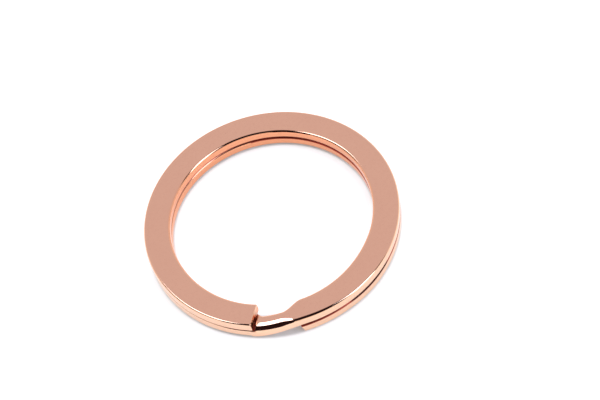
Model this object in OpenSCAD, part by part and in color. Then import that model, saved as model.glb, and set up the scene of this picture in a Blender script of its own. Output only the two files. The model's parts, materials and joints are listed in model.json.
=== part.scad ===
// Split key ring: one flat spring wire coiled into two turns that lie on each
// other. The wire crosses from the lower level to the upper one at the front,
// and each of its two ends stops just short of that crossover.
//
// The ring lies flat: +Z is up, the origin is the middle of the eye, and the
// crossover is at -Y. Angles along the wire are in degrees from the middle of
// the crossover, counter-clockwise seen from above. The lower turn is the
// upper one turned over about the Y axis.
//
// The wire is divided across its length into named stretches, face to face,
// so that each turn can spring open as the real wire does.

/* [Ring] */
// Outside diameter of the ring
outer_d = 30; // [24:0.5:40]
// Width of the flat wire, from the eye to the rim
band_w = 3.1; // [2.4:0.1:4]
// Thickness of the flat wire
band_t = 1.25; // [0.9:0.05:1.6]
// Radius of the wire's long edges
edge_r = 0.25; // [0.1:0.05:0.35]
// Clearance between the two turns where they lie together
turn_gap = 0.03; // [0.01:0.01:0.1]

/* [Ends] */
// Angle from the middle of the crossover to each tip
end_angle = 9.8; // [7:0.2:12]
// How far each cut end leans back over the wire's thickness
end_slant = 0.2; // [0.04:0.02:0.5]
// How far the upper end stands off the turn below it
upper_end_gap = 0.06; // [0.02:0.02:0.4]
// How far the lower end stands off the turn above it
lower_end_gap = 0.2; // [0.02:0.02:0.4]

/* [Crossover] */
// Angle past each tip at which the wire starts to change level
jog_lead = 2.7; // [1:0.1:4]
// Depth of the throat pressed into the inner edge of the crossover
throat_depth = 0.9; // [0:0.05:1.1]
// Angle from the middle to the end of the throat's deepest stretch
throat_flat = 3; // [2:0.5:6]
// Angle from the middle to where the throat has run out
throat_end = 12; // [8:0.5:12.5]
// Depth of the shallow relief of the inner edge along the whole front
relief_depth = 0.38; // [0:0.02:0.6]
// Angle from the middle to where the relief starts to run out
relief_flat = 10; // [8:0.5:16]
// Angle from the middle to where the relief has run out
relief_end = 50; // [24:1:58]
// How far the crossover swells up right behind the upper tip
swell = 0.35; // [0:0.05:0.5]
// Clearance between the upper tip and the foot of that swell
swell_clearance = 0.05; // [0.02:0.01:0.3]
// Radius of the rim's upper edge where the crossover swells
shoulder_r = 0.8; // [0.3:0.05:0.9]

/* [Flexing] */
// Angle that each flexing stretch of a turn covers
flex_step = 30; // [24:1:32]

/* [Hidden] */
outer_r = outer_d / 2;
eye_r = outer_r - band_w;
mid_r = outer_r - band_w / 2;
// Height from the middle of one turn to the middle of the other
level_step = band_t + turn_gap;
// Height of the upper turn's underside and of its top face
upper_z = turn_gap / 2;
top_z = upper_z + band_t;
// Angle from the middle of the crossover to where it reaches a level
jog_half = end_angle + jog_lead;
// Angle of the upper tip, and of the start of each flexing stretch of a turn
tip = 360 - end_angle;
flex_start = [for (i = [6 : -1 : 1]) tip - i * flex_step];
// The stretch between the crossover's relief and the first flexing stretch is
// divided here
side_end = (relief_end + flex_start[0]) / 2;
// Straight line from the start of an end stretch to its tip
end_chord = 2 * mid_r * sin(flex_step / 2);
// Facets of each rounded edge
edge_steps = 4;
// Largest angle between two sections of a shaped stretch, and of the crossover
section_step = 1.5;
jog_step = 0.4;
// Angle on each side of a point over which its slope is taken
slope_step = 0.1;
// Angle by which the swell stays behind the upper tip: its clearance, the lean
// of the crossover's sections there, and one step between two of them
swell_lag = (swell_clearance + band_t / 2 * wire_slope(-end_angle)) / eye_r * 180 / PI + jog_step;
// Angle over which the swell rises, and from its end to the upper level
swell_rise = 1.2;
swell_stop = 2;
// Angles at which the crossover starts to swell, has swollen, and is plain
swell_from = swell_lag - end_angle;
swell_top = swell_from + swell_rise;
swell_end = jog_half - swell_stop;
// The widest shoulder leaves the rim below it a flat side
shoulder_share = 0.65;
widest_shoulder = min(shoulder_r, shoulder_share * band_t);
// Size of the block that cuts an end
cutter = 2 * band_w;
rose_gold = [0.86, 0.60, 0.48];
$fn = 180;

// Smooth step from 0 to 1
function smooth(t) = let (c = min(1, max(0, t))) c * c * (3 - 2 * c);
// 1 up to angle `flat` on both sides of the crossover, down to 0 at `end`
function fade(a, flat, end) = smooth((end - abs(a)) / (end - flat));

// Angle from the crossover to a point of the wire, whichever way is shorter
function from_front(a) = min(abs(a), 360 - a);

// Height of the middle of the wire, its rise per millimetre of length, and the
// radius of its inner edge, at angle a
function wire_z(a) = level_step * (smooth((a + jog_half) / (2 * jog_half)) - 0.5);
function wire_slope(a) = (wire_z(a + slope_step) - wire_z(a - slope_step))
    / (mid_r * 2 * slope_step * PI / 180);
function inner_r(a) = eye_r
    + throat_depth * fade(a, throat_flat, throat_end)
    + relief_depth * fade(from_front(a), relief_flat, relief_end);
// How much thicker the wire is at angle a, and the radius of its shoulder
function swollen(a) = swell
    * smooth((a - swell_from) / (swell_top - swell_from))
    * min(1, max(0, (swell_end - a) / (swell_end - swell_top)));
function rim_r(a) = edge_r + (widest_shoulder - edge_r)
    * smooth((a - swell_from) / (swell_top - swell_from))
    * smooth((swell_end - a) / swell_end);

// Outline of the wire's section, counter-clockwise: from `inner` to the rim
// along x, and from `bottom` to `top` along y, with the rim's upper edge
// rounded to `rim` and the other edges to edge_r
function wire_section(inner, bottom, top, rim) = [
    for (corner = [0 : 3], step = [0 : edge_steps])
        let (turn = 90 * corner + 90 * step / edge_steps)
        let (r = corner == 0 ? rim : edge_r)
        let (right = corner == 0 || corner == 3)
        let (upper = corner < 2)
        [
            (right ? outer_r - r : inner + r) + r * cos(turn),
            (upper ? top - r : bottom + r) + r * sin(turn)
        ]
];

// Places the point p of a section at angle a, square to the rising wire
function on_wire(a, p) =
    let (slope = wire_slope(a), lean = 1 / sqrt(1 + slope * slope))
    let (back = -p[1] * slope * lean)
    [
        p[0] * sin(a) + back * cos(a),
        -p[0] * cos(a) + back * sin(a),
        wire_z(a) + p[1] * lean
    ];

// A plain stretch of the upper turn between two angles
module plain_wire(from, to) {
    rotate_extrude(start = from - 90, angle = to - from)
        polygon(wire_section(eye_r, upper_z, top_z, edge_r));
}

// A stretch whose level, width and thickness change along it
module shaped_wire(from, to, longest_step = section_step) {
    count = ceil((to - from) / longest_step);
    ring = 4 * (edge_steps + 1);
    angles = [for (i = [0 : count]) from + (to - from) * i / count];
    points = [
        for (a = angles)
            each [
                for (p = wire_section(inner_r(a), -band_t / 2, band_t / 2 + swollen(a), rim_r(a)))
                    on_wire(a, p)
            ]
    ];
    sides = [
        for (i = [0 : count - 1], j = [0 : ring - 1])
            let (k = (j + 1) % ring)
            each [
                [i * ring + j, i * ring + k, (i + 1) * ring + k],
                [i * ring + j, (i + 1) * ring + k, (i + 1) * ring + j]
            ]
    ];
    first = [for (j = [ring - 1 : -1 : 0]) j];
    last = [for (j = [0 : ring - 1]) count * ring + j];
    polyhedron(points, concat(sides, [first, last]), convexity = 4);
}

// Turns its children up by `angle` about the radial line at angle a along the
// top face of the upper turn
module bent_up(a, angle) {
    rotate([0, 0, a - 90])
        translate([0, 0, top_z])
            rotate([angle, 0, 0])
                translate([0, 0, -top_z])
                    rotate([0, 0, 90 - a])
                        children();
}

// The last stretch of the upper turn: it stands off the turn below by `gap`
// at its tip, and its cut face leans back from the bottom edge
module end_wire(gap) {
    lean = atan(end_slant / band_t);
    bent_up(flex_start[5], atan(gap / end_chord))
        difference() {
            shaped_wire(flex_start[5], tip);
            rotate([0, 0, tip - 90])
                translate([mid_r - cutter / 2, 0, upper_z])
                    rotate([lean, 0, 0])
                        cube(cutter);
        }
}

// Turns a stretch of the upper turn over into the lower turn's
module turned_over() {
    rotate([0, 180, 0]) children();
}

module crossover() color(rose_gold) shaped_wire(-jog_half, jog_half, jog_step);

module upper_front_right() color(rose_gold) shaped_wire(jog_half, relief_end);
module upper_right() color(rose_gold) plain_wire(relief_end, side_end);
module upper_back_right() color(rose_gold) plain_wire(side_end, flex_start[0]);
module upper_back() color(rose_gold) plain_wire(flex_start[0], flex_start[1]);
module upper_back_left() color(rose_gold) plain_wire(flex_start[1], flex_start[2]);
module upper_left_back() color(rose_gold) plain_wire(flex_start[2], flex_start[3]);
module upper_left() color(rose_gold) plain_wire(flex_start[3], flex_start[4]);
module upper_front_left() color(rose_gold) shaped_wire(flex_start[4], flex_start[5]);
module upper_end() color(rose_gold) end_wire(upper_end_gap);

module lower_front_left() turned_over() upper_front_right();
module lower_left() turned_over() upper_right();
module lower_back_left() turned_over() upper_back_right();
module lower_back() turned_over() upper_back();
module lower_back_right() turned_over() upper_back_left();
module lower_right_back() turned_over() upper_left_back();
module lower_right() turned_over() upper_left();
module lower_front_right() turned_over() upper_front_left();
module lower_end() turned_over() color(rose_gold) end_wire(lower_end_gap);

crossover();
upper_front_right();
upper_right();
upper_back_right();
upper_back();
upper_back_left();
upper_left_back();
upper_left();
upper_front_left();
upper_end();
lower_front_left();
lower_left();
lower_back_left();
lower_back();
lower_back_right();
lower_right_back();
lower_right();
lower_front_right();
lower_end();
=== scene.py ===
# Split key ring: one flat spring wire in two turns, polished and plated in
# rose gold, lying on a white studio floor.
#
# Every stretch of the wire is one closed mesh that replaces its CAD node.
# Angles along the wire are in degrees from the middle of the crossover,
# counter-clockwise seen from above, as in the CAD model. All lengths are in
# metres. The lower turn is made as an upper one and turned over about Y.
import json
import math
from collections import namedtuple

import bpy
import numpy as np
from mathutils import Matrix, Vector


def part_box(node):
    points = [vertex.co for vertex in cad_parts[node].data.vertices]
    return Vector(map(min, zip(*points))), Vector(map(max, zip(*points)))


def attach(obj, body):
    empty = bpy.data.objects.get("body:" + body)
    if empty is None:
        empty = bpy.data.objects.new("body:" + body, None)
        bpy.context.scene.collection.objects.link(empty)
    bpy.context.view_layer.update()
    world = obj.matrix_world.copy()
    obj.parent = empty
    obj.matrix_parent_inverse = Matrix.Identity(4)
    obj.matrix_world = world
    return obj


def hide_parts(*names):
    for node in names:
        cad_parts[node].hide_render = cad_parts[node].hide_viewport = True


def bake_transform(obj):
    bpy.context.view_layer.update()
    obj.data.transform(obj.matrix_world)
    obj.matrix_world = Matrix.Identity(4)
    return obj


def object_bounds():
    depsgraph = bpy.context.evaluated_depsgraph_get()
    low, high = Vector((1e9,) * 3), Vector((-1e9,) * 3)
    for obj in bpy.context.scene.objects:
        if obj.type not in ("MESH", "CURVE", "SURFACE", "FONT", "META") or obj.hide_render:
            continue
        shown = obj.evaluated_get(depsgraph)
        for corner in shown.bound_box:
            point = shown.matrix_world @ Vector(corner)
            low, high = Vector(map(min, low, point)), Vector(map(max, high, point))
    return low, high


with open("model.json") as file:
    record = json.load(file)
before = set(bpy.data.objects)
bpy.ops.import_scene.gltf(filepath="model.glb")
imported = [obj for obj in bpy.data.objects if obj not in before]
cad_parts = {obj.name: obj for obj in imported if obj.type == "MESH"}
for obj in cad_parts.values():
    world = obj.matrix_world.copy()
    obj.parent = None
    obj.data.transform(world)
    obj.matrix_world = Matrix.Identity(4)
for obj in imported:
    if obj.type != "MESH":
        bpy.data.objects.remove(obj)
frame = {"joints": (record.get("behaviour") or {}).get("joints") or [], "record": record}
cad_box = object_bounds()

MM = 0.001
ROOT = "fixed_wire"
UPPER = ["upper_back", "upper_back_left", "upper_left_back",
         "upper_left", "upper_front_left", "upper_end"]
LOWER = ["lower_back", "lower_back_right", "lower_right_back",
         "lower_right", "lower_front_right", "lower_end"]


# ---------------------------------------------------------------- sizes
def wire_angle(x, y):
    """The angle along the wire of a point in plan, from 0 to 360."""
    return (math.degrees(math.atan2(y, x)) + 90) % 360


# Read from the frame: the eye, the hinges on the rim's top edge, and where the
# stretches between them start and end
eye = next(m for m in frame["record"]["mounts"] if m["name"] == "eye")
hinge_of = {j["child"]: j for j in frame["joints"]}
hinges = [hinge_of[name]["pos_m"] for name in UPPER]
OUTER_R = math.hypot(hinges[0][0], hinges[0][1])
TOP_Z = hinges[0][2]
EYE_R = eye["dims"]["r_mm"] * MM
HALF_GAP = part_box("upper_right")[0][2]
BAND_T = TOP_Z - HALF_GAP
BAND_W = OUTER_R - EYE_R
MID_R = OUTER_R - BAND_W / 2
LEVEL_Z = HALF_GAP + BAND_T / 2

flex_start = [wire_angle(p[0], p[1]) for p in hinges]
FLEX_STEP = flex_start[1] - flex_start[0]
TIP = flex_start[-1] + FLEX_STEP
JOG_HALF = math.degrees(math.asin(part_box("crossover")[1][0] / OUTER_R))
FRONT_END = math.degrees(math.asin(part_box("upper_front_right")[1][0] / OUTER_R))
SIDE_END = math.degrees(math.acos(-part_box("upper_right")[1][1] / OUTER_R))
UPPER_END_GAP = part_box("upper_end")[1][2] - TOP_Z
LOWER_END_GAP = -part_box("lower_end")[0][2] - TOP_Z

# Radii of the wire's long edges: outside, and round the eye
EDGE_R = 0.25 * MM
INNER_R = 0.34 * MM
# The rim's edges where the turns meet, on each side of the front and at the
# back. Degrees from the middle between which the one changes into the other,
# and over which the seam starts on the crossover
SEAM_R = {"left": 0.14 * MM, "right": 0.22 * MM}
SEAM_BACK = 0.18 * MM
SEAM_FLAT, SEAM_END = 60, 120
SEAM_START = 10
# The rim's upper edge where the crossover swells, and right of that. Degrees
# right of the middle where each starts to run out and has run out
SHOULDER_R, SHOULDER_FLAT, SHOULDER_END = 0.98 * MM, 1.5, 9.5
RIM_R, RIM_FLAT, RIM_END = 0.46 * MM, 10, 44
LEAST_R = 0.02 * MM          # of any edge where a cut end is rounded over

# What is ground off the inner edge: its depth, and the degrees to the end of
# the deepest stretch and to where it has run out
THROAT_DEPTH, THROAT_FLAT, THROAT_END = 0.92 * MM, 3, 13
THROAT_FLAT_LEFT = 6         # the deepest stretch is longer left of the middle
RELIEF_DEPTH, RELIEF_FLAT, RELIEF_END = 0.36 * MM, 10, 66
TIP_RELIEF = 0.62            # the share of the relief that the ends have

# How far the crossover swells up behind the upper tip, the degrees left of the
# middle where it starts and has swollen, and right of it where it is plain
SWELL = 0.40 * MM
SWELL_FROM, SWELL_TOP, SWELL_END = 9.4, 8.2, 10
# How far the step's foot behind the upper tip lies back at the rim, the degrees
# over which it starts and ends to do so, and where left of the middle it ends
FOOT_SKEW = 0.34 * MM
FOOT_START, FOOT_FADE, FOOT_END = 3, 5, 4

# A cut end: how far it reaches past the frame's, how far its edge on the turn's
# open face lies behind that in the seam, and how far its rim edge lies behind
# its inner edge
Cut = namedtuple("Cut", "reach slant skew")
UPPER_CUT = Cut(-0.02 * MM, 0.08 * MM, 0.42 * MM)
LOWER_CUT = Cut(0.15 * MM, 0.32 * MM, 0.05 * MM)
NO_CUT = Cut(0, 0, 0)
CUT_R = 0.10 * MM            # the rounding round a cut end
CUT_POWER = 6                # how late a tip stretch changes into its cut

# How a stretch lies on the other turn: on which side of the crossover, and how
# far it stands off at its tip and along the slit
Lie = namedtuple("Lie", "side tip_gap slit", defaults=(0.0, 0.0))
LIFT_FROM = 45               # degrees before its tip where an end starts to lift
SLIT = 0.11 * MM             # how far the lower turn stands off right of its tip
SLIT_START, SLIT_END = 32, 60        # degrees from the middle where it does so
UPPER_LIE, LOWER_LIE = Lie("left", UPPER_END_GAP), Lie("right", LOWER_END_GAP, SLIT)

# How squarely a surface faces the other turn where the painted shade in the seam starts, and how
# much more squarely where that is full
SEAM_SHADE_FROM, SEAM_SHADE_TURN = {"left": 0.55, "right": 0.10}, 0.4
FLAT_LESS_SHADE = 0.75            # how much less painted shade the flat faces inside the seam get
SHUT_FADE = 3                # degrees over which the painted shade in the seam turns black at the slit
# Degrees left of the swell's top where the painted shade on the step's foot, which lies under the
# upper tip, starts, and over which it becomes full
FOOT_SHADE_START, FOOT_SHADE_RAMP = 0.1, 0.7

CORNERS = 4                  # of the wire's section
CORNER_STEPS = 8             # segments of a rounded long edge
FACE_STEPS = 4               # segments across a flat face
STATION_STEP = 1.0           # degrees between two sections
JOG_STEP = 0.25              # the same on the crossover
CUT_STEPS = 5                # rings of the rounding round a cut end
SLOPE_STEP = 0.05            # degrees on each side over which a slope is taken
TURN_OVER = np.array([-1.0, 1.0, -1.0])      # half a turn about the Y axis


# ---------------------------------------------------------------- the wire
def smooth(t):
    """Smooth step from 0 to 1."""
    t = np.clip(t, 0.0, 1.0)
    return t * t * (3 - 2 * t)


def fade(a, flat, end):
    """1 up to the angle flat on both sides of the crossover, 0 from end on."""
    return smooth((end - np.abs(a)) / (end - flat))


def from_front(a):
    """Degrees from the middle of the crossover, whichever way is shorter."""
    return np.minimum(np.abs(a), 360 - a)


def level(a, lie):
    """Height of the middle of the wire at angle a."""
    jog = 2 * LEVEL_Z * (smooth((a + JOG_HALF) / (2 * JOG_HALF)) - 0.5)
    lift = lie.tip_gap * np.clip((a - TIP + LIFT_FROM) / LIFT_FROM, 0, 1) ** 2
    share = np.clip((360 - a - SLIT_START) / (SLIT_END - SLIT_START), 0, 1)
    return jog + lift + lie.slit * np.sin(math.pi * share)


def behind_tip(a):
    """0 up to the foot of the swell behind the upper tip, 1 from its top on."""
    return smooth((a + SWELL_FROM) / (SWELL_FROM - SWELL_TOP))


def swollen(a):
    """How much of the crossover's swell there is at angle a."""
    return behind_tip(a) * np.clip((SWELL_END - a) / (SWELL_END + SWELL_TOP), 0, 1)


def inner_radius(a):
    """Radius of the wire's inner face at angle a."""
    flat = np.where(a < 0, THROAT_FLAT_LEFT, THROAT_FLAT)
    relief = RELIEF_DEPTH * np.where(a > 180, TIP_RELIEF, 1.0)
    inner = EYE_R + THROAT_DEPTH * fade(a, flat, THROAT_END)
    return inner + relief * fade(from_front(a), RELIEF_FLAT, RELIEF_END)


def rim_edges(a, side):
    """Radii of the rim's upper and lower edge at angle a."""
    past = EDGE_R + (RIM_R - EDGE_R) * np.where(a > 0, fade(a, RIM_FLAT, RIM_END), 0)
    before_end = smooth((SHOULDER_END - a) / (SHOULDER_END - SHOULDER_FLAT))
    shoulder = past + (SHOULDER_R - past) * behind_tip(a) * before_end
    seam = SEAM_BACK + (SEAM_R[side] - SEAM_BACK) * fade(from_front(a), SEAM_FLAT, SEAM_END)
    lower = EDGE_R + (seam - EDGE_R) * np.where(a > 180, 1, smooth(a / SEAM_START))
    return shoulder, lower


def section(a, inset, side):
    """Points and outward normals of the wire's outline at angles a.

    Both come as (angles, points, 2), along the radius and up from the middle.
    """
    inner = inner_radius(a)
    shoulder, lower = rim_edges(a, side)
    top = BAND_T / 2 + SWELL * swollen(a)
    bottom = np.full_like(a, -BAND_T / 2)
    round_eye = np.full_like(a, INNER_R)
    # corners counter-clockwise from the rim's top edge
    corners = [(True, top, shoulder), (False, top, round_eye),
               (False, bottom, round_eye), (True, bottom, lower)]
    arcs, outward = [], []
    for k, (at_rim, edge, radius) in enumerate(corners):
        upward = 1 if k < 2 else -1
        radius = np.maximum(radius - inset, LEAST_R)
        centre_x = OUTER_R - inset - radius if at_rim else inner + inset + radius
        centre_y = edge - upward * (inset + radius)
        turn = np.radians(90 * (k + np.arange(CORNER_STEPS + 1) / CORNER_STEPS))
        out = np.stack([np.cos(turn), np.sin(turn)], -1)
        centre = np.stack([centre_x, centre_y], -1)
        arcs.append(centre[:, None] + radius[:, None, None] * out)
        outward.append(np.broadcast_to(out, arcs[-1].shape))
    share = (np.arange(1, FACE_STEPS) / FACE_STEPS)[:, None]
    points, normals = [], []
    for k in range(CORNERS):
        here, there = arcs[k][:, -1:], arcs[(k + 1) % CORNERS][:, :1]
        flat = here * (1 - share) + there * share
        points += [arcs[k], flat]
        normals += [outward[k], np.broadcast_to(outward[k][:, -1:], flat.shape)]
    return np.concatenate(points, 1), np.concatenate(normals, 1)


def rings(a, lie, cut, cut_share, inset=0.0, ahead=0.0):
    """Rings of points round the wire at angles a, and their section's normals.

    Both come as (angles, points, 3), and with them the wire's tangent and the
    radial line at each angle. A ring takes cut_share of the cut's shape. It can
    be inset from the wire's skin, and moved ahead along the wire.
    """
    outline, flat_normals = section(a, inset, lie.side)
    radius, up = outline[..., 0], outline[..., 1]
    rise = (level(a + SLOPE_STEP, lie) - level(a - SLOPE_STEP, lie)) / 2
    slope = rise / (MID_R * math.radians(SLOPE_STEP))
    lean = 1 / np.sqrt(1 + slope**2)
    over = (up + BAND_T / 2) / BAND_T
    across = (radius - EYE_R) / BAND_W
    back = cut_share[:, None] * (cut.reach - cut.slant * over - cut.skew * across) + ahead
    # the foot of the step behind the upper tip runs along the cut
    foot = smooth((a + JOG_HALF) / FOOT_START) * smooth((-FOOT_END - a) / FOOT_FADE)
    back = back - FOOT_SKEW * foot[:, None] * across
    along = back - up * (slope * lean)[:, None]
    sine, cosine = np.sin(np.radians(a)), np.cos(np.radians(a))
    x = radius * sine[:, None] + along * cosine[:, None]
    y = -radius * cosine[:, None] + along * sine[:, None]
    z = level(a, lie)[:, None] + up * lean[:, None] + back * (slope * lean)[:, None]
    tangent = np.stack([cosine, sine, slope], -1) * lean[:, None]
    radial = np.stack([sine, -cosine, np.zeros_like(a)], -1)
    square = np.cross(radial, tangent)
    normals = flat_normals[..., :1] * radial[:, None] + flat_normals[..., 1:] * square[:, None]
    return np.stack([x, y, z], -1), normals, tangent, radial


def skin(a, lie, cut, cut_share):
    """What rings gives, with normals square to the skin's real run."""
    points, flat, tangent, radial = rings(a, lie, cut, cut_share)
    later = rings(a + SLOPE_STEP, lie, cut, cut_share)[0]
    earlier = rings(a - SLOPE_STEP, lie, cut, cut_share)[0]
    run = later - earlier
    run /= np.linalg.norm(run, axis=-1, keepdims=True)
    normals = flat - (flat * run).sum(-1, keepdims=True) * run
    return points, normals / np.linalg.norm(normals, axis=-1, keepdims=True), tangent, radial


def edge_mask():
    """1 in the middle of the rounded long edges of a ring, 0 on its flat faces."""
    corner = [math.sin(math.pi * i / CORNER_STEPS) for i in range(CORNER_STEPS + 1)]
    return np.array((corner + [0.0] * (FACE_STEPS - 1)) * CORNERS)


def flat_mask():
    """1 on the flat faces of a ring, 0 on its rounded long edges."""
    return np.array(([0.0] * (CORNER_STEPS + 1) + [1.0] * (FACE_STEPS - 1)) * CORNERS)


def seam_shade_masks(a, normals, lie):
    """The painted shade in the seam, and how black it is painted where it is shut."""
    seam = smooth((-normals[..., 2] - SEAM_SHADE_FROM[lie.side]) / SEAM_SHADE_TURN)
    seam = seam * (1 - FLAT_LESS_SHADE * flat_mask())
    if lie.side == "left":
        return seam, np.zeros_like(seam)
    front = from_front(a)[:, None]
    shut = seam * smooth((front - SLIT_START) / SHUT_FADE) * smooth((SLIT_END - front) / SHUT_FADE)
    return seam, shut


def foot_shade_mask(a, normals):
    """Painted shade on the step's foot, the crossover's upper side left of the swell, under the
    upper tip.
    """
    foot = smooth((-a - SWELL_TOP - FOOT_SHADE_START) / FOOT_SHADE_RAMP)
    return foot[:, None] * np.clip(normals[..., 2], 0, 1)


def skin_masks(a, normals, lie):
    """What the material is told about each point of a stretch, from 0 to 1."""
    angle = np.radians(a)[:, None]
    outward = normals[..., 0] * np.sin(angle) - normals[..., 1] * np.cos(angle)
    seam, shut = seam_shade_masks(a, normals, lie)
    edge = np.repeat(edge_mask()[None], len(a), 0)
    # faces turned to the eye, which get a painted copper-red reflection
    return {"edge": edge, "cut": np.zeros_like(edge), "eye_reflection": np.clip(-outward, 0, 1) ** 2,
            "seam": seam, "shut": shut}


def cut_normal(cut, tangent, radial):
    """The normal of a cut face."""
    normal = tangent + np.array([0, 0, cut.slant / BAND_T]) + radial * cut.skew / BAND_W
    return normal / np.linalg.norm(normal)


def round_over(end, points, normals, masks, face_normal, lie, cut):
    """Adds the rings that round a stretch over to its cut face at angle end."""
    side = normals[-1:]
    for k in range(1, CUT_STEPS + 1):
        turn = math.pi / 2 * k / CUT_STEPS
        inset, ahead = CUT_R * (1 - math.cos(turn)), CUT_R * math.sin(turn)
        ring = rings(np.array([end]), lie, cut, np.ones(1), inset, ahead)[0]
        blended = math.cos(turn) * side + math.sin(turn) * face_normal
        blended /= np.linalg.norm(blended, axis=-1, keepdims=True)
        points = np.concatenate([points, ring])
        normals = np.concatenate([normals, blended])
        changed = {"edge": 1.0, "cut": k / CUT_STEPS}
        for label, values in masks.items():
            last = values[-1:]
            row = np.full_like(last, changed[label]) if label in changed else last
            masks[label] = np.concatenate([values, row])
    return points, normals, masks


def stretch(name, start, end, turned, lie, cut=NO_CUT):
    """One closed mesh for the wire between two angles, cut to shape at a tip."""
    on_crossover = start < 0
    at_tip = cut != NO_CUT
    count = max(2, math.ceil((end - start) / (JOG_STEP if on_crossover else STATION_STEP)))
    a = np.linspace(start, end, count + 1)
    # a tip stretch changes gradually into its cut, and leaves room to round it
    cut_share = np.linspace(0, 1, count + 1) ** CUT_POWER if at_tip else np.zeros(count + 1)
    if at_tip:
        a[-1] = end - math.degrees(CUT_R / MID_R)
    points, normals, tangent, radial = skin(a, lie, cut, cut_share)
    masks = skin_masks(a, normals, lie)
    # on the crossover the seam mask carries the painted shade of the step's foot instead
    if on_crossover:
        masks["seam"] = foot_shade_mask(a, normals)
    first_normal, last_normal = -tangent[0], tangent[-1]
    if at_tip:
        last_normal = cut_normal(cut, tangent[-1], radial[-1])
        points, normals, masks = round_over(a[-1], points, normals, masks, last_normal, lie, cut)
    if turned:
        points, normals = points * TURN_OVER, normals * TURN_OVER
        first_normal, last_normal = first_normal * TURN_OVER, last_normal * TURN_OVER
    return close_mesh(name, points, normals, first_normal, last_normal, masks)


def close_mesh(name, points, normals, first_normal, last_normal, attributes):
    """A mesh of the rings, closed by a face at each end."""
    rows, ring = points.shape[:2]
    faces, loop_normals = [], []
    flat = normals.reshape(-1, 3)
    for i in range(rows - 1):
        for j in range(ring):
            k = (j + 1) % ring
            face = [i * ring + j, (i + 1) * ring + j, (i + 1) * ring + k, i * ring + k]
            faces.append(face)
            loop_normals += [flat[v] for v in face]
    faces.append(list(range(ring)))
    loop_normals += [first_normal] * ring
    faces.append([(rows - 1) * ring + j for j in range(ring)][::-1])
    loop_normals += [last_normal] * ring
    mesh = bpy.data.meshes.new(name)
    mesh.from_pydata(points.reshape(-1, 3).tolist(), [], faces)
    mesh.polygons.foreach_set("use_smooth", [True] * len(faces))
    mesh.normals_split_custom_set([tuple(n) for n in loop_normals])
    for label, values in attributes.items():
        layer = mesh.attributes.new(label, "FLOAT", "POINT")
        layer.data.foreach_set("value", values.reshape(-1).astype(np.float32))
    mesh.update()
    return link(bpy.data.objects.new(name, mesh))


def link(made):
    """Puts an object into the scene."""
    bpy.context.collection.objects.link(made)
    return made


# ---------------------------------------------------------------- materials
# The plating: where it is plain, where the bath drifted, mottled, rubbed on the
# edges, with a painted copper-red reflection round the eye, painted dark red shade in the seam, and
# painted black shade in the slit
GOLD = (0.875, 0.560, 0.385, 1)
GOLD_DRIFT = (0.860, 0.545, 0.375, 1)
GOLD_MOTTLE = (0.835, 0.515, 0.355, 1)
GOLD_RUBBED = (0.900, 0.560, 0.370, 1)
# painted reflection: copper red standing in for warm surroundings mirrored on the faces round the
# eye
EYE_REFLECTION_RED = (0.780, 0.300, 0.150, 1)
# painted shade: dark red where the two turns shade each other in the seam
SEAM_SHADE_RED = (0.340, 0.022, 0.012, 1)
# painted shade: black where the seam is shut at the slit
SLIT_SHADE_BLACK = (0.050, 0.018, 0.014, 1)
# The most that each of these covers
MOTTLE_SHARE, RUBBED_SHARE, EYE_REFLECTION_SHARE, SEAM_SHADE_SHARE = 0.35, 0.2, 0.85, 0.9
# Roughness of the polish at its clearest and dullest, and what is added to it
POLISH_CLEAR, POLISH_DULL = 0.045, 0.075
HAIR_ROUGH, CUT_ROUGH, SEAM_ROUGH = 0.07, 0.10, 0.30
# The unit of the relief, and how many of it each kind stands up or is cut in
RELIEF_UNIT = 0.006 * MM
WAVE_RELIEF, GRAIN_RELIEF, HAIR_RELIEF, PIT_RELIEF = 1.2, 0.05, -0.05, -0.08
# The directions of the hairlines in radians, and the scale of their noise
# along X, which they run in before they are turned, and along Y and Z
HAIR_TURNS, HAIR_SCALE = (0.45, -1.1), (260.0, 9000.0, 260.0)
# The floor's two whites, its glow under the ring, dimmed there as a painted contact shadow, and
# elsewhere, and how far the one fades into the other on each side of the ring's outline
PAPER, PAPER_GRAIN = (0.48, 0.478, 0.476, 1), (0.51, 0.508, 0.506, 1)
GLOW_IN_PAINTED_SHADOW, GLOW = 0.45, 1.25
SHADE = 0.35 * MM

# The sockets of a Mix node that mixes colours: its factor, first colour and
# second colour, and its result
MIX_INPUTS, MIX_RESULT = (0, 6, 7), 2


def set_socket(tree, socket, value):
    """Links a socket from another one, or sets it to a value."""
    if isinstance(value, bpy.types.NodeSocket):
        tree.links.new(value, socket)
    else:
        socket.default_value = value


def node(tree, kind, *values, **named):
    """A node whose first inputs are set in order, and others by name."""
    made = tree.nodes.new(kind)
    for socket, value in zip(made.inputs, values):
        set_socket(tree, socket, value)
    for key, value in named.items():
        set_socket(tree, made.inputs[key.replace("_", " ")], value)
    return made


def noise(tree, at, scale, detail):
    """Noise at a place, from about 0.25 to 0.75."""
    made = node(tree, "ShaderNodeTexNoise", Vector=at, Scale=scale, Detail=detail)
    return made.outputs["Fac"]


def ramp(tree, value, low, high, to_low, to_high):
    """Maps value from low..high to to_low..to_high, smoothly and clamped."""
    made = node(tree, "ShaderNodeMapRange", Value=value, From_Min=low, From_Max=high,
                To_Min=to_low, To_Max=to_high)
    made.interpolation_type = "SMOOTHSTEP"
    return made.outputs["Result"]


def math_node(tree, operation, *values):
    """The result of a Math node."""
    made = node(tree, "ShaderNodeMath", *values)
    made.operation = operation
    return made.outputs[0]


def add_share(tree, total, value, share):
    """total, with share of value added to it."""
    return math_node(tree, "ADD", total, math_node(tree, "MULTIPLY", value, share))


def mix_colour(tree, factor, first, second):
    """The first colour at factor 0, the second at factor 1."""
    made = tree.nodes.new("ShaderNodeMix")
    made.data_type = "RGBA"
    for index, value in zip(MIX_INPUTS, (factor, first, second)):
        set_socket(tree, made.inputs[index], value)
    return made.outputs[MIX_RESULT]


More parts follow.
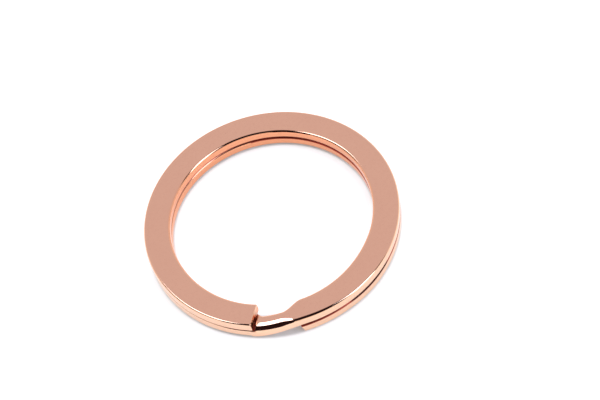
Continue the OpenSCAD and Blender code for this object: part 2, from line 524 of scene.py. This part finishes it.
def attribute(tree, name):
    """A mesh attribute, as a socket."""
    made = tree.nodes.new("ShaderNodeAttribute")
    made.attribute_name = name
    return made.outputs["Fac"]


def new_material(name):
    """A material, its node tree, its shader and the place on the object."""
    material = bpy.data.materials.new(name)
    material.use_nodes = True
    tree = material.node_tree
    at = tree.nodes.new("ShaderNodeTexCoord").outputs["Object"]
    return material, tree, tree.nodes["Principled BSDF"], at


def hairlines(tree, at):
    """Noise drawn out along two directions, of which only thin crests are left."""
    lines = None
    for angle in HAIR_TURNS:
        turned = node(tree, "ShaderNodeMapping", Vector=at, Rotation=(0, 0, angle), Scale=HAIR_SCALE)
        hair = noise(tree, turned.outputs[0], scale=1.0, detail=2.0)
        crest = ramp(tree, hair, 0.64, 0.74, 0, 1)
        lines = crest if lines is None else math_node(tree, "MAXIMUM", lines, crest)
    return lines


def rose_gold():
    """Polished rose-gold plating: a faint waviness, hairlines and pits in the
    polish, a painted copper-red reflection round the eye and painted dark shade in the seam."""
    material, tree, shader, at = new_material("rose_gold_plating")
    shader.inputs["Metallic"].default_value = 1.0
    labels = ("edge", "cut", "eye_reflection", "seam", "shut")
    edge, raw, eye_reflection, seam, shut = (attribute(tree, label) for label in labels)

    # colour: slow drift of the plating bath, finer mottling, then the masks: rubbed edges, painted
    # reflection round the eye, painted shade in the seam and the slit
    drift = ramp(tree, noise(tree, at, scale=160.0, detail=3.0), 0.3, 0.7, 0, 1)
    mottle = noise(tree, at, scale=2600.0, detail=4.0)
    colour = mix_colour(tree, drift, GOLD, GOLD_DRIFT)
    colour = mix_colour(tree, ramp(tree, mottle, 0.35, 0.75, 0, MOTTLE_SHARE), colour, GOLD_MOTTLE)
    for mask, share, shade in ((edge, RUBBED_SHARE, GOLD_RUBBED),
                               # painted reflection round the eye
                               (eye_reflection, EYE_REFLECTION_SHARE, EYE_REFLECTION_RED),
                               # painted shade in the seam
                               (seam, SEAM_SHADE_SHARE, SEAM_SHADE_RED)):
        colour = mix_colour(tree, math_node(tree, "MULTIPLY", mask, share), colour, shade)
    # painted black shade where the seam is shut at the slit
    colour = mix_colour(tree, shut, colour, SLIT_SHADE_BLACK)
    tree.links.new(colour, shader.inputs["Base Color"])

    # roughness: a clean polish, duller in hairlines, on the cuts and in the seam
    lines = hairlines(tree, at)
    rough = ramp(tree, mottle, 0.3, 0.7, POLISH_CLEAR, POLISH_DULL)
    for mask, share in ((lines, HAIR_ROUGH), (raw, CUT_ROUGH), (seam, SEAM_ROUGH)):
        rough = add_share(tree, rough, mask, share)
    tree.links.new(rough, shader.inputs["Roughness"])

    # relief: waviness of the drawn wire and its grain, then hairlines and pits
    pits = node(tree, "ShaderNodeTexVoronoi", Vector=at, Scale=900.0)
    pit = ramp(tree, pits.outputs["Distance"], 0.05, 0.11, 1, 0)
    wave = noise(tree, at, scale=420.0, detail=1.0)
    grain = noise(tree, at, scale=7000.0, detail=2.0)
    height = math_node(tree, "MULTIPLY", wave, WAVE_RELIEF)
    for relief, share in ((grain, GRAIN_RELIEF), (lines, HAIR_RELIEF), (pit, PIT_RELIEF)):
        height = add_share(tree, height, relief, share)
    bump = node(tree, "ShaderNodeBump", Height=height, Strength=1.0, Distance=RELIEF_UNIT)
    tree.links.new(bump.outputs[0], shader.inputs["Normal"])
    return material


def white_floor():
    """A matt white sheet with a very faint grain, lit from below, with a painted shadow under the
    ring.
    """
    material, tree, shader, at = new_material("white_sweep")
    colour = mix_colour(tree, noise(tree, at, scale=900.0, detail=3.0), PAPER, PAPER_GRAIN)
    tree.links.new(colour, shader.inputs["Base Color"])
    shader.inputs["Roughness"].default_value = 0.9
    shader.inputs["Specular IOR Level"].default_value = 0.1
    # it glows, but less under the ring: a painted contact shadow
    parts = node(tree, "ShaderNodeSeparateXYZ", Vector=at).outputs
    square = [math_node(tree, "MULTIPLY", parts[k], parts[k]) for k in (0, 1)]
    radius = math_node(tree, "SQRT", math_node(tree, "ADD", *square))
    outside = ramp(tree, radius, OUTER_R - SHADE, OUTER_R + SHADE, 0, 1)
    inside = ramp(tree, radius, EYE_R - SHADE, EYE_R + SHADE, 1, 0)
    outside_painted_shadow = math_node(tree, "MAXIMUM", outside, inside)
    tree.links.new(colour, shader.inputs["Emission Color"])
    strength = ramp(tree, outside_painted_shadow, 0, 1, GLOW_IN_PAINTED_SHADOW, GLOW)
    tree.links.new(strength, shader.inputs["Emission Strength"])
    return material


def place(piece, name, plating):
    """Plates a stretch and hides the CAD node it replaces; a stretch off the hinges is tied to the
    fixed wire, a hinged one only has its place baked in.
    """
    piece.data.materials.append(plating)
    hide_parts(name)
    if name in hinge_of:
        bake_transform(piece)
    else:
        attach(piece, ROOT)


def build_turn(side, flexing, turned, lie, plating):
    """The stretches of one turn, from the crossover to its tip."""
    way = "left" if turned else "right"
    tip_cut = LOWER_CUT if turned else UPPER_CUT
    fixed = [(f"{side}_front_{way}", JOG_HALF, FRONT_END),
             (f"{side}_{way}", FRONT_END, SIDE_END),
             (f"{side}_back_{way}", SIDE_END, flex_start[0])]
    for name, start, end in fixed:
        place(stretch(name + "_skin", start, end, turned, Lie(way)), name, plating)
    for name, start in zip(flexing, flex_start):
        cut = tip_cut if name == flexing[-1] else NO_CUT
        piece = stretch(name + "_skin", start, start + FLEX_STEP, turned, lie, cut)
        place(piece, name, plating)


def key_ring():
    """The crossover and both turns."""
    plating = rose_gold()
    crossover = stretch("crossover_skin", -JOG_HALF, JOG_HALF, False, Lie("right"))
    place(crossover, "crossover", plating)
    build_turn("upper", UPPER, False, UPPER_LIE, plating)
    build_turn("lower", LOWER, True, LOWER_LIE, plating)


# ---------------------------------------------------------------- the studio
FLOOR_GAP = 0.002 * MM
FLOOR_Z = cad_box[0][2] - FLOOR_GAP
FLOOR_HALF = 1.5


def floor():
    """A square floor that the ring lies on."""
    corners = [(x * FLOOR_HALF, y * FLOOR_HALF, FLOOR_Z)
               for x, y in ((-1, -1), (1, -1), (1, 1), (-1, 1))]
    mesh = bpy.data.meshes.new("floor")
    mesh.from_pydata(corners, [], [(0, 1, 2, 3)])
    mesh.materials.append(white_floor())
    link(bpy.data.objects.new("floor", mesh))


def direction(azimuth, elevation):
    """A unit vector: azimuth counter-clockwise from +X, both in degrees."""
    az, el = math.radians(azimuth), math.radians(elevation)
    return (math.cos(az) * math.cos(el), math.sin(az) * math.cos(el), math.sin(el))


# The room near the floor and overhead, and the sines of the elevations between
# which it changes from one to the other
ROOM_LOW, ROOM_HIGH = (1.02, 1.0, 0.98, 1), (0.764, 0.657, 0.714, 1)
ROOM_FROM, ROOM_TO = 0.12, 0.70
# What the polished metal mirrors, later ones over earlier ones: the azimuth and
# elevation of a panel's middle in degrees, half its width and height as seen
# from one metre, the softness of its edges, and its colour
STUDIO = [
    (-90, 40, 1.00, 0.34, 0.03, (0.022, 0.010, 0.012, 1)),   # dark room in front
    (-119, 12, 0.29, 0.32, 0.03, (0.022, 0.010, 0.012, 1)),  # the room's far corner
    (-78, 58, 0.72, 0.60, 0.05, (0.020, 0.008, 0.010, 1)),   # camera and its stand
    (-160, 39, 0.50, 0.24, 0.05, (0.02, 0.01, 0.01, 1)),     # below the left softbox
    (-6, 38, 0.11, 0.23, 0.03, (0.02, 0.01, 0.01, 1)),       # beside the right one
    (178, 61, 0.36, 0.115, 0.02, (4.2, 4.6, 5.6, 1)),        # left softbox
    (-28, 38, 0.20, 0.45, 0.02, (3.2, 3.5, 4.4, 1)),         # right softbox
]
# Cosines of the angle off a panel's middle between which it fades out, so that
# it doesn't show behind the object as well, and the least one to divide by
BEHIND_FROM, BEHIND_TO, LEAST_COSINE = 0.05, 0.15, 0.01


def panel(tree, ray, azimuth, elevation, width, height, soft):
    """1 where the ray meets a flat panel one metre away, 0 elsewhere."""
    ahead = Vector(direction(azimuth, elevation))
    side = Vector(direction(azimuth + 90, 0))
    dots = []
    for axis in (ahead, side, ahead.cross(side)):
        dot = node(tree, "ShaderNodeVectorMath", ray, axis)
        dot.operation = "DOT_PRODUCT"
        dots.append(dot.outputs["Value"])
    found = ramp(tree, dots[0], BEHIND_FROM, BEHIND_TO, 0, 1)
    for dot, half in ((dots[1], width), (dots[2], height)):
        distance = math_node(tree, "MAXIMUM", dots[0], LEAST_COSINE)
        across = math_node(tree, "ABSOLUTE", math_node(tree, "DIVIDE", dot, distance))
        inside = ramp(tree, across, half - soft, half + soft, 1, 0)
        found = math_node(tree, "MULTIPLY", found, inside)
    return found


def studio():
    """A pale room, brighter near the floor, with the panels in STUDIO."""
    world = bpy.data.worlds.new("studio")
    bpy.context.scene.world = world
    world.use_nodes = True
    tree = world.node_tree
    ray = tree.nodes.new("ShaderNodeTexCoord").outputs["Generated"]
    height = node(tree, "ShaderNodeSeparateXYZ", Vector=ray).outputs["Z"]
    colour = mix_colour(tree, ramp(tree, height, ROOM_FROM, ROOM_TO, 0, 1), ROOM_LOW, ROOM_HIGH)
    for *place_and_size, shade in STUDIO:
        colour = mix_colour(tree, panel(tree, ray, *place_and_size), colour, shade)
    tree.links.new(colour, tree.nodes["Background"].inputs["Color"])


def lights():
    """A wide soft light that brightens the floor and isn't mirrored."""
    data = bpy.data.lights.new("sky_panel", "SUN")
    data.energy = 1.9
    data.angle = math.radians(70)
    made = link(bpy.data.objects.new("sky_panel", data))
    made.rotation_euler = (math.radians(-14), math.radians(10), 0)
    made.visible_glossy = False


# Where the camera is from the middle of the ring, which way it looks, and the
# degrees by which it is rolled
CAMERA_DISTANCE, CAMERA_AZIMUTH, CAMERA_ELEVATION = 0.194053, -79.758, 54.504
CAMERA_VIEW = (-0.0851, 0.5801, -0.8101)
CAMERA_ROLL = -14.718


def camera():
    """A long lens above the front of the ring, rolled a little."""
    data = bpy.data.cameras.new("camera")
    data.lens, data.sensor_width = 100.0, 36.0
    data.clip_start, data.clip_end = 0.01, 10.0
    made = link(bpy.data.objects.new("camera", data))
    view = np.array(CAMERA_VIEW)
    view /= np.linalg.norm(view)
    level_right = np.cross(view, (0, 0, 1))
    level_right /= np.linalg.norm(level_right)
    level_up = np.cross(level_right, view)
    roll = math.radians(CAMERA_ROLL)
    right = math.cos(roll) * level_right + math.sin(roll) * level_up
    up = np.cross(right, view)
    turned = Matrix([[float(c[i]) for c in (right, up, -view)] for i in range(3)])
    position = Vector(direction(CAMERA_AZIMUTH, CAMERA_ELEVATION)) * CAMERA_DISTANCE
    made.matrix_world = Matrix.Translation(position) @ turned.to_4x4()
    bpy.context.scene.camera = made


key_ring()
floor()
studio()
lights()
camera()
bpy.context.scene.view_settings.view_transform = "Standard"
